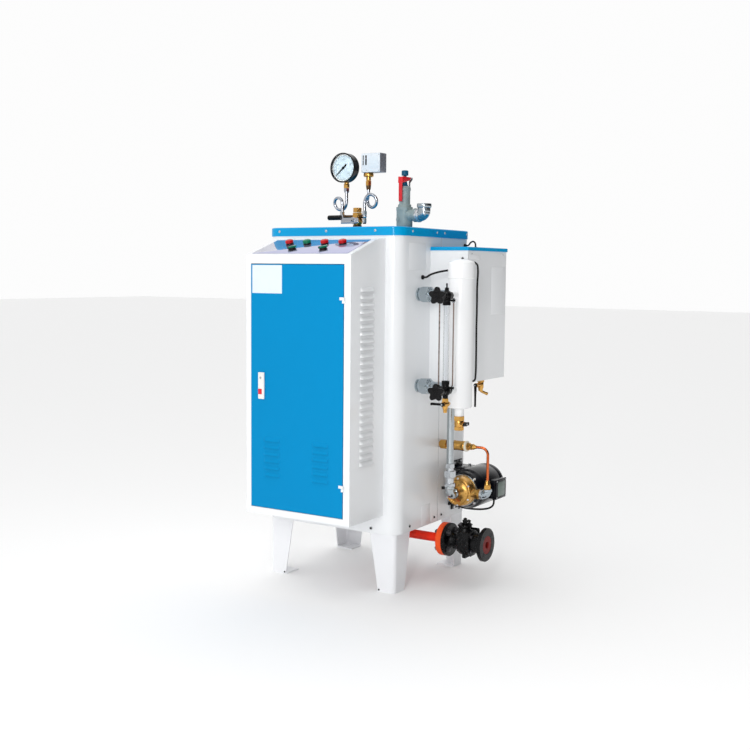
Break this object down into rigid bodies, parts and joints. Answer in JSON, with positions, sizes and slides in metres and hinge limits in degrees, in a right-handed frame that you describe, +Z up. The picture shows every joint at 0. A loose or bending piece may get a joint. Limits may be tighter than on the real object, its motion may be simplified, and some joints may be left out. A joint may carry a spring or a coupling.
{
  "type": "electric steam boiler",
  "caption": "Upright electric steam boiler: white casing on four legs, blue lid, switch cabinet with hinged door, feed tank, level column, feed pump, steam and relief valves, drain valve.",
  "frame": {"origin": "on the floor, midway between the four foot anchor holes", "axes": "+Z up, +X to the right seen from the cabinet door, +Y to the rear"},
  "size_m": [0.797, 0.785, 1.5854],
  "materials": {
    "casing_white": "gloss powder coat, white",
    "lid_blue": "gloss paint, blue",
    "leg_white": "gloss powder coat, white",
    "door_blue": "satin paint, blue",
    "panel_grey": "gloss panel sheet, pale lavender grey",
    "tank_white": "gloss powder coat, white",
    "tank_blue": "gloss paint, blue",
    "column_white": "gloss white paint",
    "galvanised": "zinc coated malleable iron",
    "steel": "polished steel tube",
    "brass": "cast and machined brass",
    "bronze": "cast bronze, machined face",
    "copper": "bare copper tube",
    "glass": "clear tube",
    "black_iron": "black painted casting",
    "black_plastic": "moulded black plastic",
    "lamp_plastic": "red and green lenses on black collars",
    "green_plastic": "moulded green plastic",
    "lock_white": "white push lock with a red button",
    "motor_black": "dark navy black gloss paint",
    "pipe_red": "red oxide paint",
    "valve_grey": "grey cast iron",
    "lever_red": "red paint",
    "cap_teal": "teal paint",
    "switch_grey": "light grey sheet cover",
    "lead_black": "black cable sheath",
    "zinc": "zinc plated hinge"
  },
  "bodies": {
    "boiler": {"casing_front": "casing_white", "casing_rear": "casing_white", "casing_lid": "lid_blue", "base_plate": "casing_white", "legs": "leg_white", "cabinet_left_side": "casing_white", "cabinet_right_side": "casing_white", "cabinet_floor": "casing_white", "cabinet_front_frame": "casing_white", "control_panel": "panel_grey", "panel_fittings": "lamp_plastic", "cabinet_hinges": "zinc", "tank_walls": "tank_white", "tank_floor": "tank_white", "tank_cover": "tank_blue", "level_column": "column_white", "column_cap": "column_white", "column_unions": "galvanised", "column_drain_valve": "brass", "gauge_valves": "black_iron", "gauge_glass": "glass", "gauge_guard_rods": "steel", "suction_pipe": "galvanised", "pump_head": "bronze", "pump_motor": "motor_black", "motor_terminal_box": "motor_black", "delivery_elbow": "galvanised", "copper_pipe": "copper", "check_valve": "brass", "drain_pipe": "pipe_red", "drain_valve": "black_iron", "steam_valve": "brass", "siphon_pipes": "steel", "pressure_gauge": "black_iron", "pressure_controller": "switch_grey", "safety_valve": "valve_grey", "relief_elbow": "galvanised", "tank_tap": "brass", "lead_glands": "black_plastic", "electrode_lead": "lead_black", "float_lead": "lead_black", "column_lead": "lead_black", "motor_lead": "lead_black"},
    "cabinet_door": {"door_panel": "door_blue", "door_lock": "lock_white", "door_hinges": "zinc"},
    "left_selector": {"selector_knob_left": "green_plastic"},
    "right_selector": {"selector_knob_right": "green_plastic"},
    "steam_lever": {"steam_valve_lever": "steel"},
    "relief_lever": {"safety_valve_lever": "lever_red"},
    "relief_spindle": {"safety_valve_spindle": "cap_teal"},
    "upper_handwheel": {"gauge_handwheel_upper": "black_plastic"},
    "lower_handwheel": {"gauge_handwheel_lower": "black_plastic"},
    "gauge_cock_lever": {"gauge_drain_lever": "black_plastic"},
    "column_cock_lever": {"column_drain_lever": "black_plastic"},
    "tap_lever": {"tank_tap_lever": "black_plastic"}
  },
  "joints": [
    {"name": "door_hinge", "type": "hinge", "parent": "boiler", "child": "cabinet_door", "pos_m": [0.2043, -0.4914, 0.73], "axis": [0, 0, 1], "range_deg": [0, 110]},
    {"name": "left_selector_turn", "type": "hinge", "parent": "boiler", "child": "left_selector", "pos_m": [-0.045, -0.438, 1.21157], "axis": [0, -0.3175, 0.9483], "range_deg": [-45, 45]},
    {"name": "right_selector_turn", "type": "hinge", "parent": "boiler", "child": "right_selector", "pos_m": [0.086, -0.438, 1.21157], "axis": [0, -0.3175, 0.9483], "range_deg": [-45, 45]},
    {"name": "steam_lever_turn", "type": "hinge", "parent": "boiler", "child": "steam_lever", "pos_m": [-0.063, -0.031, 1.33], "axis": [0, 1, 0], "range_deg": [0, 90]},
    {"name": "relief_lever_lift", "type": "hinge", "parent": "boiler", "child": "relief_lever", "pos_m": [0.1446, 0.03, 1.482], "axis": [-1, 0, 0], "range_deg": [0, 7]},
    {"name": "relief_spindle_rise", "type": "slide", "parent": "boiler", "child": "relief_spindle", "axis": [0, 0, 1], "range_m": [0, 0.0045]},
    {"name": "upper_handwheel_turn", "type": "hinge", "parent": "boiler", "child": "upper_handwheel", "pos_m": [0.453, -0.3, 1.061], "axis": [0, -1, 0], "range_deg": [0, 350]},
    {"name": "lower_handwheel_turn", "type": "hinge", "parent": "boiler", "child": "lower_handwheel", "pos_m": [0.453, -0.3, 0.7355], "axis": [0, -1, 0], "range_deg": [0, 350]},
    {"name": "gauge_cock_turn", "type": "hinge", "parent": "boiler", "child": "gauge_cock_lever", "pos_m": [0.453, -0.25, 0.69], "axis": [0, -1, 0], "range_deg": [0, 90]},
    {"name": "column_cock_turn", "type": "hinge", "parent": "boiler", "child": "column_cock_lever", "pos_m": [0.48, -0.128, 0.611], "axis": [1, 0, 0], "range_deg": [0, 90]},
    {"name": "tank_tap_turn", "type": "hinge", "parent": "boiler", "child": "tap_lever", "pos_m": [0.4, 0.0965, 0.724], "axis": [0, -1, 0], "range_deg": [0, 90]}
  ],
  "couplings": [
    {"joint": "relief_spindle_rise", "follows": "relief_lever_lift", "m_per_rad": 0.036}
  ]
}
